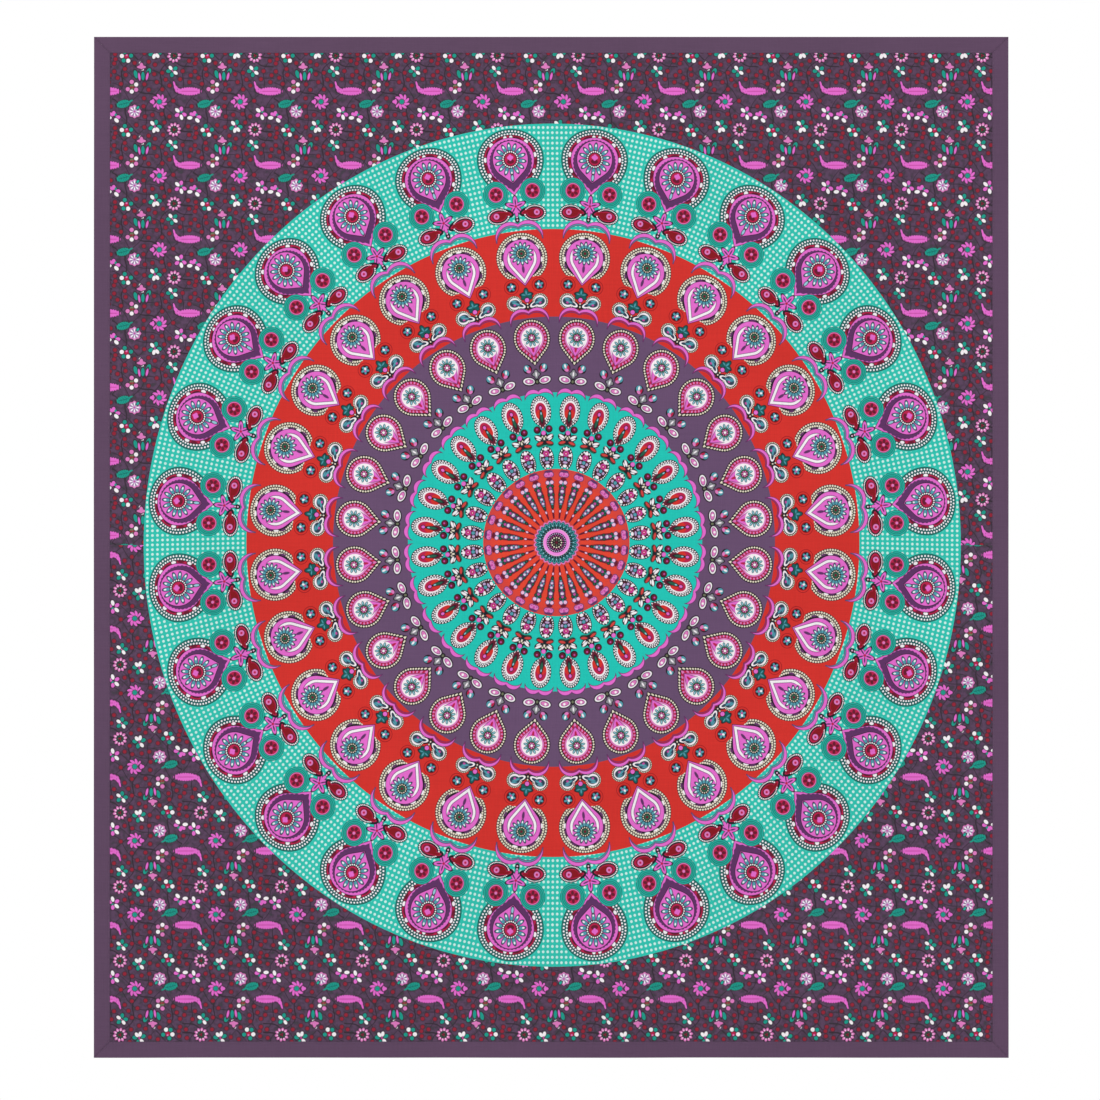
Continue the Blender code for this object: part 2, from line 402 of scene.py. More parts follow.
def paint_ring_a(painter):
    """Outer ring: round medallions on a teal ground with a lattice of pale dots."""
    u, v, between = folded_place(painter, "teal")
    bu, bv = between()
    column = painter.wave(bu, 5.4)
    row = painter.wave(painter.minus(bv, 953.3), 5.8)
    painter.fill("teal_pale", painter.length(column, row), 3, soft=1.6)

    middle = 887.5
    up = painter.minus(v, middle)
    raised = painter.times_plus(painter.math("MAXIMUM", up, 0), 0.16, up)
    distance = painter.length(u, raised)
    angle = painter.angle(u, raised)

    before = painter.colour
    painter.fill("teal", distance, 81)
    painter.line("black", distance, 77.5, 1)
    paint_lace(painter, distance, angle, 62, 76, 60, (66, 73), 2.2, "white", "teal_dark")
    painter.fills(distance, black=63.6, crimson=62.2)
    painter.lay(
        ("maroon", (21.5, 933, 9.5, 3.6, -22), (51, 908, 9, 3.6, -60), (59, 875, 8, 3.4, -98),
         (43, 849, 8, 3.2, -140)),
        ("white", (7, 936.5, 4.2, 3.4, -5), (41, 923, 5.4, 4.4, -38), (58.8, 892, 3.8, 5.4),
         (52, 856, 3.4, 5, -28), "black"),
    )
    painter.cut_below(before, up, -52)

    outer = painter.teardrop(u, raised, 1.46)
    painter.fills(outer, black=56.6, pink=55.2)
    deep = painter.teardrop(u, painter.minus(v, 881), 1.33)
    scallops = painter.wave(painter.times(angle, 34 / TAU), 0.5)
    painter.fill("plum", painter.times_plus(scallops, 4, deep), 51)
    inner = painter.teardrop(u, up, 1.30)
    painter.fills(inner, black=42.4, pink=41)
    turn, spread = paint_daisy(painter, middle, 14, 27, 3.7, 8.4)
    painter.fill("black", spread, 20.5)
    painter.dot_ring("white", turn, spread, 22, 17.4, 1.7)
    painter.fill("crimson", spread, 13.6)
    painter.lay(
        ("maroon", (0, middle - 5, 8.4, 5)),
        ("pink", (0, middle + 4, 7.4, 4.6), (0, middle + 4, 4, 7)),
        ("slate_pale", (0, 845.5, 2.8, 6.5), "black"),
    )

    disc_angle, disc = painter.polar(43.5, 812)
    painter.fills(disc, teal_dark=30, teal_deep=28.8)
    painter.line("teal_dark", disc, 25, 0.6)
    painter.line("teal_dark", disc, 21.4, 0.6)
    painter.fills(disc, black=18.4, pink_soft=17.2, crimson=15.2)
    painter.fill("maroon", painter.spokes(disc_angle, disc, 6, 9, 3.6, 4.8), soft=0.3)
    painter.blobs("pink_soft", (43.5, 813, 3.4, 3))

    turn, spread = painter.polar(0, 781)
    star = painter.spokes(turn, spread, 5, 11, 5.2, 12)
    painter.fill("black", star, 1.3, soft=0.2)
    painter.lay(
        ("black", (0, 765, 5, 9)),
        ("pink", (0, 765, 3.4, 8)),
    )
    painter.fill("pink", star, soft=0.2)
    painter.fill("plum", painter.spokes(turn, spread, 5, 10, 1.7, 7), soft=0.4)
    painter.fill("crimson", spread, 3)

    painter.blobs("black", (43, 762, 27.5, 19, -4), (25, 767, 19, 10, 14))
    paint_beads(painter, "white", (43, 762, 24.6, 16.2, -4), 20, 34, 19.6, 1.35, 1.5)
    painter.lay(
        ("crimson", (43, 762, 19.4, 11.4, -4), (24.5, 767, 13, 4.4, 14)),
        ("red_deep", (41.5, 762, 16.6, 9.2, -4), (24.5, 767, 10, 3, 14)),
        ("pink_soft", (48, 763, 7, 6.4), "maroon"),
        ("crimson", (48, 763, 2.8)),
        ("black", (0, 751, 5.6, 8)),
        ("pink_pale", (0, 756, 1.7, 2), (0, 749.5, 1.7, 2)),
    )
    paint_arch(painter, ARCH_AB, "pink", "slate")


def paint_ring_b(painter):
    """Second ring: drop medallions on red."""
    u, v, _ = folded_place(painter, "red")
    paint_arch(painter, ARCH_AB, "pink", "slate")

    middle = 660
    up = painter.minus(v, middle)
    distance = painter.length(u, up)
    angle = painter.angle(u, up)
    before = painter.colour
    paint_lace(painter, distance, angle, 47, 60.5, 56, (51, 57.2), 2.4)
    painter.fill("black", distance, 48)
    painter.lay(
        ("white", (11, 706, 6.5, 2.6, -8), (39, 683, 3, 6.6, 36), (46, 652, 2.6, 6, -6)),
        ("plum", (29, 696.5, 7.5, 2.8, -38), (45.2, 667, 2.6, 6.5, 12), (42.5, 635, 2.6, 7, -24)),
    )
    painter.cut_below(before, up, -47)

    outer = painter.teardrop(u, up, 1.5)
    painter.fills(outer, black=45, pink=43.6)
    line = painter.teardrop(u, painter.minus(v, 658.5), 1.74)
    painter.fills(line, plum=35.4, white=34)
    painter.fills(line, plum=28.2, pink=26.9)
    painter.fill("pink", painter.polar(0, 670.5)[1], 30)
    turn, spread = paint_daisy(painter, 670.5, 14, 18.6, 3.1, 7.4)
    painter.fill("black", spread, 12.6)
    painter.dot_ring("cream", turn, spread, 12, 9.6, 1.4)
    painter.fills(spread, green=6.6, maroon=3.2)
    painter.blobs("plum", (0, 633, 3.2, 9))

    disc_angle, disc = painter.polar(32.9, 593)
    painter.fill("red_deep", disc, 17.4)
    painter.line("red", disc, 14.2, 1.9)
    painter.fill("black", disc, 10.4)
    painter.fill("slate", painter.spokes(disc_angle, disc, 5, 6, 2.7, 3.8), soft=0.3)
    painter.lay(
        ("white", (31, 595, 2.4, 3.4, 30)),
        ("magenta", (34.5, 591, 2.4)),
        ("teal_dark", (0, 573, 13, 5.4), (0, 578, 5, 9), (7, 567, 5, 6, 40), "black"),
        ("slate", (0, 577, 1.8, 5), (6.5, 572.5, 4.4, 1.4, 10)),
        ("pink", (0, 559.5, 4.6, 5.4), "black"),
    )

    painter.blobs("black", (30.5, 554, 20, 17.4), (15.5, 547, 15, 9.6, 24))
    paint_beads(painter, "cream", (30.5, 554, 18, 15.4), 15, 26, 15, 1.2, 1.2)
    painter.lay(
        ("white", (30, 554, 15.2, 12.6), (16, 548, 11.4, 5.6, 24)),
        ("slate_dark", (29.5, 554, 12.2, 9.2), (17.5, 549, 8.6, 3.4, 24)),
        ("slate", (27, 553.5, 9, 2.6, 22), (31, 559.5, 7, 1.8, 10)),
        ("magenta", (30, 550.5, 3, 2.4)),
        ("black", (0, 544, 4.4, 9)),
        ("cream", (0, 550, 1.6, 2), (0, 543, 1.6, 2)),
    )
    paint_arch(painter, ARCH_BC, "pink", "crimson")


def paint_ring_c(painter):
    """Third ring: drop medallions on purple."""
    u, v, _ = folded_place(painter, "purple")
    paint_arch(painter, ARCH_BC, "pink", "crimson")

    middle = 471.2
    up = painter.minus(v, middle)
    drop = painter.teardrop(u, up, 1.42)
    angle = painter.angle(u, up)
    paint_lace(painter, drop, angle, 35, 43.5, 42, (39.6,), 2.1)
    painter.fill("crimson", drop, 35.2)
    painter.fill("pink_soft", painter.spokes(angle, drop, 26, 32.6, 2.1, 2.6), soft=0.4)
    painter.fills(drop, maroon=29.4, pink_soft=28.4, white=24.6)
    tail = painter.teardrop(u, painter.minus(v, 466), 1.9)
    painter.fills(tail, plum=19.4, pink=18.2)
    painter.line("plum", tail, 11.5, 0.8)
    painter.line("white", tail, 7.5, 1.3)
    turn, spread = painter.polar(0, 473)
    painter.fill("white", spread, 22)
    painter.fill("teal_dark", painter.spokes(turn, spread, 11, 13.4, 3.2, 6.6), soft=0.3)
    painter.fill("slate_pale", painter.spokes(turn, spread, 11, 14.6, 1.4, 3.8), soft=0.5)
    painter.fills(spread, green=9.6, maroon=8)
    painter.dot_ring("pink_soft", turn, spread, 7, 5.6, 1.6)
    painter.lay(
        ("white", (0, 473, 3)),
        ("crimson", (0, 446, 2.6, 6)),
        ("black", (18.8, 404, 10.5)),
        ("slate", (20.6, 406, 6.8, 7.6, -20)),
        ("crimson", (13.6, 403.5, 2.8, 5.8, -12)),
        ("pink_soft", (17, 398.6, 5, 3.4, 12)),
        ("white", (21, 407, 2.2, 4.4, -20)),
        ("grey", (0, 391, 8.6, 4.6), (0, 391, 4.6, 9.6), "black"),
        ("white", (0, 391, 1.8, 5)),
        ("black", (18.6, 376.3, 16, 10.4, 8), (0, 374, 6, 6.6)),
        ("white", (19, 376.6, 13.2, 7.8, 8)),
        ("plum", (18.2, 376.2, 10.4, 5.6, 8)),
        ("pink_soft", (18.2, 376.2, 8.8, 4.2, 8)),
        ("white", (20, 377, 3, 2.6)),
        ("olive", (0, 374, 2.6, 3.2)),
    )
    paint_arch(painter, ARCH_CD, "pink")


def paint_ring_d(painter):
    """Fourth ring: slim drops and beetle-like ovals on bright teal."""
    u, v, _ = folded_place(painter, "teal_bright")
    paint_arch(painter, ARCH_CD, "pink")
    up = painter.times_plus(v, 1 / 1.45, -307 / 1.45)
    drop = painter.teardrop(u, up, 1.2)
    angle = painter.angle(u, up)
    paint_lace(painter, drop, angle, 16, 24.5, 26, (22, 18.6), 1.5, "white")
    painter.fills(drop, white=16.6, crimson=13.4)
    painter.lay(
        ("red", (0, 299, 12.6, 12)),
        ("maroon", (0, 283, 7.6, 13)),
        ("green", (0, 293.5, 3, 11), "black"),
        ("slate_pale", (0, 301.5, 1.6, 3)),
        ("pink", (0, 314, 3.2, 4.2), "black"),
        ("black", (13.8, 264.5, 8.8)),
        ("maroon", (14.6, 265.5, 6, 6.2)),
        ("magenta", (14.6, 266, 2.2)),
        ("black", (0, 250, 8.6, 12), (12.6, 245, 11, 7.6, 28)),
        ("pink", (0, 256.4, 4.8, 5.4)),
        ("white", (13.4, 247, 7.8, 2.8, 28), (14, 241.6, 5.4, 1.6, 28)),
        ("cream", (0, 243, 2, 4), (4.2, 247.5, 1.4, 2.6, 30)),
        ("black", (10.6, 232, 10.6, 6.4, -18), (0, 234, 5, 6)),
        ("red_rose", (11.4, 233, 7.8, 3, -18)),
        ("green", (9, 227, 8, 2, -14)),
    )

    painter.blobs("black", (0, 198, 17.4, 28))
    paint_beads(painter, "white", (0, 198, 14.8, 25), 19, 22, 18.6, 1.5, 1.7)
    painter.lay(
        ("maroon", (0, 199, 11.2, 20.5)),
        ("white", (0, 218.8, 4.6, 3.4), (10.4, 205.4, 4.6, 2.8, 25)),
        ("magenta", (0, 208.3, 7.2, 6.6)),
        ("crimson", (0, 208.3, 4.2, 3.9)),
        ("pink_pale", (0, 208.3, 1.6)),
        ("lavender", (7.6, 195, 3.6, 3.2), (0, 188, 5.4, 2.6), "black"),
        ("slate", (0, 196.5, 4), "black"),
        ("white", (0, 179.8, 4.6, 3.6), "black"),
        ("teal_bright", (0, 173.6, 4, 2.8)),
    )


def paint_ring_e(painter):
    """Inner ring: beaded spokes on red."""
    _, v, between = folded_place(painter, "red_rose")
    painter.fill("red_orange", v, 152, soft=24)
    point, painter.point = painter.point, painter.join(*between())
    painter.blobs("red_orange", (0, 129, 6, 12))
    painter.point = point
    painter.lay(
        ("maroon", (0, 116, 8.4, 36), (0, 66, 2.4, 12)),
        ("green", (0, 114, 5.6, 30)),
        ("plum", (0, 167, 10, 3)),
        ("pink_soft", (5.4, 159.5, 5, 5.4), (0, 159, 4, 5), "plum"),
        ("magenta", (0, 160.5, 2.4, 3.4), (6.4, 157.5, 2.4, 1.6)),
        ("maroon", (0, 149, 7.4, 3.4)),
        ("pink_pale", (5, 141, 3.7, 4.4), "plum"),
        ("slate", (0, 138.7, 1.8, 3.2)),
        ("green", (5.6, 131.5, 2.2, 2.6), (4.4, 112.3, 2.4, 2.8), "black"),
        ("magenta", (0, 128, 3)),
        ("lavender", (0, 119.6, 4.4, 3.8), (0, 105.8, 3.6, 3), (0, 95.3, 3.6, 3), "plum"),
        ("white", (1.6, 120.4, 1.2, 1.8), (1.2, 106.2, 1, 1.4), (0, 95.6, 1.4, 1.2)),
        ("plum", (0, 112, 2.4, 2.2), (0, 100.6, 2, 1.8)),
        ("slate", (0, 89.6, 2.4, 1.8), (3.4, 100.8, 1.5, 2.2)),
        ("black", (0, 82.8, 3.8, 4.6)),
        ("green", (0, 83.2, 2, 2.2)),
        ("pink_pale", (0, 73.4, 2, 3), "maroon"),
    )


def paint_disc(painter):
    """The centre: a scalloped disc with rings of dots."""
    painter.point = print_place(painter)
    painter.colour = INK["red_rose"]
    angle, distance = painter.polar(0, 0)
    turns = painter.times(angle, MOTIFS / TAU)
    arc = painter.math("SINE", painter.times(painter.math("FRACT", turns), TAU / 2))
    reach = painter.times_plus(arc, -4.4, distance)
    painter.fills(reach, pink_soft=49.4, teal_dark=46.2)
    painter.fill("slate", painter.spokes(angle, distance, MOTIFS, 44.4, 3.7, 4, 0.5), soft=0.3)
    painter.fill("teal_dark", painter.spokes(angle, distance, MOTIFS, 43.4, 2.2, 3.2, 0.5), soft=0.4)
    painter.fill("slate_pale", painter.spokes(angle, distance, MOTIFS, 39.6, 1.2, 2.2), soft=0.6)
    painter.fill("black", distance, 37)
    painter.dot_ring("slate", angle, distance, 36, 34, 1.3)
    painter.fills(distance, pink_pale=31.6, pink_light=30.2, black=23.4)
    painter.dot_ring("lavender", angle, distance, 28, 20.6, 1.4)
    painter.dot_ring("magenta", angle, distance, 18, 16.2, 1.3, 0.5)
    painter.dot_ring("cream", angle, distance, 12, 11.6, 1.7)
    painter.dot_ring("olive", angle, distance, 6, 6.4, 1.6)
    painter.fill("maroon", distance, 3)


class Tile(Painter):
    """Paints the floral field in repeats, whose edges its shapes may cross.

    Places are mm right of and below a repeat's top left corner. Angles turn down from the right.
    """

    def repeat(self, place):
        """Repeats the place. Its views are whole tiles, and ones shifted by half a tile."""
        self.views = {}
        for side in (False, True):
            for top in (False, True):
                low = (-side * TILE_WIDTH / 2, -top * TILE_HEIGHT / 2, -1)
                high = (low[0] + TILE_WIDTH, low[1] + TILE_HEIGHT, 1)
                self.views[side, top] = self.vector("WRAP", place, high, low)
        self.point = self.views[False, False]

    def seen(self, x, y):
        """The view of the tile that a shape at a place doesn't cross, and its place there."""
        near_side = not 0.25 * TILE_WIDTH < x < 0.75 * TILE_WIDTH
        near_top = not 0.25 * TILE_HEIGHT < y < 0.75 * TILE_HEIGHT
        if near_side and x > TILE_WIDTH / 2:
            x -= TILE_WIDTH
        if near_top and y > TILE_HEIGHT / 2:
            y -= TILE_HEIGHT
        return self.views[near_side, near_top], x, y

    def angle(self, across, down):
        return self.math("ARCTAN2", down, across)

    def petals(self, ink, x, y, long, wide, *places):
        """Petals round a middle, each at an angle and a reach."""
        shapes = []
        for angle, reach in places:
            turn = math.radians(angle)
            shapes.append((x + reach * math.cos(turn), y + reach * math.sin(turn),
                           long, wide, angle))
        self.blobs(ink, *shapes, rim="vine")


# The middles of the tile's berries, in mm right of and below its corner.
BERRIES = (
    (30, 21), (32, 35), (13, 42), (21, 56), (53, 7), (86, 4), (101, 11), (99, 33), (118, 30),
    (126, 46), (105, 52), (135, 60), (118, 69), (86, 70), (76, 57), (75, 90), (74, 109),
    (77, 133), (95, 129), (117, 127), (135, 133), (123, 147), (57, 153), (76, 158), (144, 96),
    (166, 26), (160, 45), (185, 36), (182, 52), (187, 109), (179, 156), (5, 27), (7, 160),
    (8, 172), (181, 2), (5, 8), (120, 2),
)


def paint_field(tile):
    """The ground of small flowers, leaves and berries around the mandala."""
    place = print_place(tile)
    across, up = tile.split(place)
    half = tile.math("SIGN", tile.minus(up, HALVES_MEET))
    right = tile.times(across, half)
    down = tile.times(tile.minus(up, HALVES_MEET), half)
    down = tile.minus(TILE_TOP - HALVES_MEET, down)
    place = tile.join(tile.minus(right, TILE_LEFT), down)
    tile.repeat(place)
    bent = tile.vector("ADD", tile.point, tile.scaled(tile.join(
        tile.math("SINE", tile.times(down, TAU / TILE_HEIGHT * 2)),
        tile.math("SINE", tile.times(right, TAU / TILE_WIDTH * 2))), 9))
    bent_x, bent_y = tile.split(bent)
    stem = tile.wave(tile.times_plus(bent_y, 0.45, bent_x), 23)
    twig = tile.wave(tile.times_plus(bent_x, -0.6, bent_y), 16)
    mottle = tile.noise(place, 0.09, 3)
    tile.cover("vine", tile.times(tile.inside(mottle, 0.5, 0.16), 0.42))
    tile.cover("vine_green", tile.times(tile.inside(mottle, 0.4, 0.08), 0.4))
    tile.fill("vine", tile.math("MINIMUM", stem, twig), 1.1, soft=1.4)
    nearest = tile.nearest([tile.distance(x, y) for x, y in BERRIES])
    tile.fills(nearest, soft=1.6, vine=6, berry_edge=5.2)
    tile.fill("berry", nearest, 4.2, soft=2.2)

    # Feather: a toothed body with a tail that curls up at its left.
    body = tile.placed(182, 73.5, 27, 9.4)
    body_x, body_y = tile.split(body)
    teeth = tile.times(tile.wave(body_x, 0.105), 2.4)
    body_edge = tile.math("ADD", tile.vector("LENGTH", body), teeth)
    tile.blobs("pink", (146.4, 57, 2.2, 7.4, -16), (150.5, 66, 4, 7.5, -34),
                  (160, 73, 12, 6.4, 14), rim="vine")
    tile.fills(body_edge, soft=0.12, vine=1.22, pink=1.1)
    tile.blobs("pink", (161, 73.6, 9, 4.6, 14))
    rib = tile.math("ABSOLUTE", body_y)
    tile.cover("magenta", tile.times(tile.inside(rib, 0.1, 0.1), tile.inside(body_edge, 0.9, 0.1)))

    # Tulip under a pink star.
    tile.lay(
        ("white", (66.5, 7, 3.2), (71.5, 22.5, 3.2)),
        ("pink_soft", (69, 16.4, 10.5, 3.8), (69, 14, 4.4, 7.6), "vine"),
        ("leaf", (55.8, 33.4, 4.6, 9.6, -16), (72.6, 37.6, 4, 10), (86.2, 26.6, 5, 7.6, 24),
         "vine"),
        ("pink", (64, 39.4, 2.6, 9, -8), (82.6, 38.4, 2.8, 8.8, 12), "vine"),
    )

    # Small teal and white flower.
    tile.petals("leaf", 142.4, 25.4, 5.6, 4.4, (-41, 8.2), (176, 9.8), (100, 9.4))
    tile.petals("white", 142.4, 25.4, 5.6, 3.8, (-126, 8.4), (35, 8.2))
    tile.blobs("pink_soft", (142, 25.6, 1.6))

    # Pink and white flower with a green heart.
    tile.lay(
        ("olive", (47.6, 63, 6.4), "vine"),
        ("berry", (45, 64.4, 2.6), (50.4, 64, 2.4)),
    )
    tile.petals("pink_soft", 47, 62.7, 4.8, 5.2, (-94, 11.4), (36, 11.8), (150, 11.6))
    tile.petals("white", 47, 62.7, 4.6, 5, (-28, 11), (94, 11.4))

    # Serrated teal leaf.
    leaf = tile.placed(29.6, 102.4, 15.6, 9, -14)
    leaf_x, leaf_y = tile.split(leaf)
    narrow = tile.times_plus(leaf_x, 0.2, tile.vector("LENGTH", leaf))
    teeth = tile.times(tile.wave(leaf_x, 0.14), 1.5)
    narrow = tile.math("ADD", narrow, teeth)
    tile.fills(narrow, soft=0.12, vine=1.24, leaf=1.08)
    tile.blobs("leaf", (44, 96.4, 5.5, 2, -24))
    spine = tile.math("ABSOLUTE", leaf_y)
    slant = tile.times_plus(spine, 0.5, leaf_x)
    veins = tile.inside(tile.wave(slant, 0.2), 0.03, 0.04)
    veins = tile.math("MAXIMUM", veins, tile.inside(spine, 0.07, 0.08))
    tile.cover("teal_dark", tile.times(veins, tile.inside(narrow, 0.85, 0.1)))

    # Claw-petalled flower with a bud at its left.
    angle, distance = tile.polar(111.2, 98)
    swirl = tile.times_plus(distance, 0.035, angle)
    claws = tile.spokes(swirl, distance, 9, 12.4, 3.5, 6.2, -0.3)
    tile.fills(claws, soft=0.25, vine=1.35, pink=1)
    tile.lay(
        ("ground", (95.6, 98, 9.4, 7)),
        ("pink", (94.5, 98, 5.6, 4), (96.5, 98, 3, 6.4), "vine"),
    )
    tile.fills(distance, ground=7, leaf=5.4)

    # Mottled lavender flower.
    angle, distance = tile.polar(52.9, 121)
    lobes = tile.wave(tile.times(angle, 8 / TAU), 0.5)
    edge = tile.times_plus(lobes, 6, distance)
    tile.fills(edge, vine=17.6, pink_soft=16.2, lavender=13.4)
    tile.fill("white", tile.spokes(angle, distance, 8, 8.4, 1.5, 3.6), soft=0.5)
    tile.fill("plum", tile.spokes(angle, distance, 8, 8.4, 0.8, 3.4, 0.5), soft=0.6)
    tile.fill("magenta", distance, 2.2)
    tile.petals("teal_deep", 52.9, 121, 4, 2.8, (-50, 12))

    # Two pink and white flowers.
    tile.petals("pink", 160.6, 124.5, 5.8, 4.4, (-78, 9.4), (22, 9.8), (148, 9))
    tile.petals("white", 160.6, 124.5, 6.4, 4, (-138, 9.4), (76, 10.4))
    tile.blobs("leaf", (163.5, 122.4, 3, 2, -25))
    tile.petals("pink", 3.6, 135.2, 5.8, 4.4, (-132, 9.4), (-88, 9.6), (-4, 10.4))
    tile.petals("white", 3.6, 135.2, 6.2, 4.2, (176, 10.8), (44, 9.6))
    tile.blobs("leaf", (8.4, 128.6, 3, 2.6))

    # Teal and white flower.
    tile.petals("leaf", 101, 156.2, 6, 4.6, (-76, 10), (158, 10.4), (6, 10))
    tile.petals("white", 101, 156.2, 6, 4, (-130, 9.8), (54, 9.2), (104, 9.4))
    tile.blobs("magenta", (100.6, 156.2, 1.8, 3.2))

    # Ring of pink drops round a dark heart.
    angle, distance = tile.polar(145.9, 163.6)
    tile.fill("vine", distance, 17)
    drops = tile.spokes(angle, distance, 10, 12.6, 3.3, 3.9, 0.25)
    tile.fill("pink_soft", drops, soft=0.3)
    tile.fill("white", tile.spokes(angle, distance, 10, 11, 0.8, 2, 0.25), soft=0.6)
    tile.fill("green", tile.spokes(angle, distance, 9, 6.2, 1.3, 1.6), soft=0.5)
    tile.fill("berry", tile.spokes(angle, distance, 3, 2.6, 1.5, 1.7), soft=0.5)

    # Crimson-hearted flower.
    tile.lay(
        ("crimson", (34.3, 166, 5.6)),
        ("pink_soft", (34.3, 162.6, 2.2)),
    )
    tile.petals("white", 34.3, 166, 5.4, 4.6, (-172, 11.4), (70, 10.2))
    tile.petals("leaf", 34.3, 166, 5.2, 4.4, (-112, 11.6), (-12, 10.6), (128, 11.6))


PAINTERS = {
    "floral_field": paint_field,
    "ring_a": paint_ring_a,
    "ring_b": paint_ring_b,
    "ring_c": paint_ring_c,
    "ring_d": paint_ring_d,
    "ring_e": paint_ring_e,
    "centre_disc": paint_disc,
}
REGIONS = list(PAINTERS)
SHOW_THROUGH = 0.52
YARN_PITCH = 0.0016
YARN_DEPTH = 0.0005
PLY_PITCH = 0.0007
PLY_DEPTH = 0.0001


def finish_surface(painter, height, strength, depth, **inputs):
    """Gives the shader its bump and its other inputs. Returns the material."""
    bump = {"Strength": strength, "Distance": depth, "Height": height}
    painter.feed(painter.shader.inputs["Normal"], painter.node("Bump", named=bump))
    for name, value in inputs.items():
        painter.feed(painter.shader.inputs[name.replace("_", " ")], value)
    return painter.material


def weave(painter, strength):
    """Cotton: slubs and uneven dye in the colour, and its yarns in the bump."""
    place = painter.node("TexCoord", output="Object")
    slub = painter.noise(painter.vector("MULTIPLY", place, (420, 18, 18)), 1, 3)
    weft = painter.noise(painter.vector("MULTIPLY", place, (14, 14, 360)), 1, 3)
    yarns = painter.math("ADD", slub, weft)
    tone = painter.math("ADD", yarns, painter.noise(place, 3.5, 3))
    tone = painter.times_plus(tone, 0.2, 0.68)
    ribs = painter.math("SINE", painter.split(painter.scaled(place, TAU / YARN_PITCH))[0])
    return finish_surface(painter, painter.times_plus(ribs, 0.25, yarns), strength, YARN_DEPTH,
                          Base_Color=painter.scaled(painter.colour, tone),
                          Roughness=painter.times_plus(slub, 0.2, 0.78),
                          Specular_IOR_Level=0.12, Sheen_Weight=0.03, Sheen_Roughness=0.5)


def printed_material(name, reverse):
    """A part of the print. Its ink shows through to the reverse, paler and duller."""
    kind = Tile if name == "floral_field" else Painter
    painter = kind(name + ("_reverse" if reverse else "_print"))
    PAINTERS[name](painter)
    if reverse:
        painter.cover("band", SHOW_THROUGH)
    return weave(painter, 0.25)


def plain_material(name, strength):
    painter = Painter(name)
    painter.colour = INK["band"]
    return weave(painter, strength)


def thread_material():
    painter = Painter("purple_thread")
    place = painter.node("TexCoord", output="Object")
    ply = painter.math("SINE", painter.split(painter.scaled(place, TAU / PLY_PITCH))[0])
    return finish_surface(painter, ply, 0.4, PLY_DEPTH, Base_Color=srgb(112, 84, 114),
                          Roughness=0.55, Sheen_Weight=0.2)


# ---------------------------------------------------------------- the hang of the cloth

HANG = 0.0011


def eased(value):
    """0 to 1, with a soft start and end."""
    value = np.clip(value, 0.0, 1.0)
    return value * value * (3 - 2 * value)


def relief(x, z):
    """How far the hung cloth stands forward of flat: shallow folds that grow downwards."""
    right = (x - CENTRE_X) / HALF_WIDTH
    down = (TOP - z) / (TOP - BOTTOM)
    folds = (0.9 * np.sin(6.3 * right + 0.8 + 0.9 * down)
             + 0.7 * np.sin(11.7 * right + 2.1 - 1.6 * down)
             + 0.35 * np.sin(23.0 * right + 4.0 * down))
    level = 0.5 * np.sin(4.2 * down + 1.7 * right + 0.5)
    edge = 0.5 * np.clip(np.abs(right) - 0.8, 0.0, 0.2) / 0.2 * np.sin(19.0 * down + right)
    return HANG * eased((TOP - z - 0.06) / 0.6) * (folds + level + edge + 1.6)


def drape(points):
    """Moves points forward with the hang of the cloth."""
    moved = np.array(points, dtype=float).reshape(-1, 3)
    moved[:, 1] -= relief(moved[:, 0], moved[:, 2])
    return moved


def new_object(name, points, faces, materials, smooth=True):
    mesh = bpy.data.meshes.new(name)
    mesh.from_pydata([tuple(point) for point in points], [], faces)
    for material in materials:
        mesh.materials.append(material)
    if smooth:
        mesh.shade_smooth()
    mesh.update()
    obj = bpy.data.objects.new(name, mesh)
    bpy.context.scene.collection.objects.link(obj)
    return obj


def strips(rows, width, first=0, closed=False):
    """Faces between rows of points. Each row is width points long and, if closed, a ring."""
    faces = []
    for row in range(rows - 1):
        start = first + row * width
        for index in range(width if closed else width - 1):
            a, b = start + index, start + (index + 1) % width
            faces.append((a, a + width, b + width, b))
    return faces


def turned(faces):
    """The faces, seen from their other side."""
    return [tuple(reversed(face)) for face in faces]


def tube(rings, sides, first=0):
    """The faces of a closed tube of rings of points."""
    start = tuple(range(first, first + sides))
    end = tuple(index + (rings - 1) * sides for index in start)
    return [(a, b, c, d) for a, d, c, b in strips(rings, sides, first, True)] + [start[::-1], end]


# ---------------------------------------------------------------- the printed panel

SPOKES = MOTIFS * 10
RING_STEP = 11
FIELD_STEPS = 26


def lie(radius):
    """How a radius of the print lies: the x and z of its middle, its stretch across and up."""
    radii, wide, high, right, up = (np.array(column) for column in zip(*RINGS.values()))
    right, up, wide, high = (float(np.interp(radius, radii, column))
                             for column in (right, up, wide / radii, high / radii))
    return CENTRE_X + right * MM, CENTRE_Z + up * MM, wide, high


def print_spot(radius, angle):
    """Where a place of the print lies on the cloth, as x and z."""
    x, z, wide, high = lie(radius)
    return x + radius * wide * math.sin(angle) * MM, z + radius * high * math.cos(angle) * MM


def edge_spot(angle):
    """Where a spoke ends, at the panel's edge."""
    x, z, wide, high = lie(OUTER_RADIUS)
    across, rise = wide * math.sin(angle), high * math.cos(angle)
    reaches = []
    for way, low, high, start in ((across, PANEL_LOW.x, PANEL_HIGH.x, x),
                                  (rise, PANEL_LOW.z, PANEL_HIGH.z, z)):
        if abs(way) > 1e-9:
            reaches.append(((high if way > 0 else low) - start) / way)
    reach = min(reaches)
    return x + across * reach, z + rise * reach


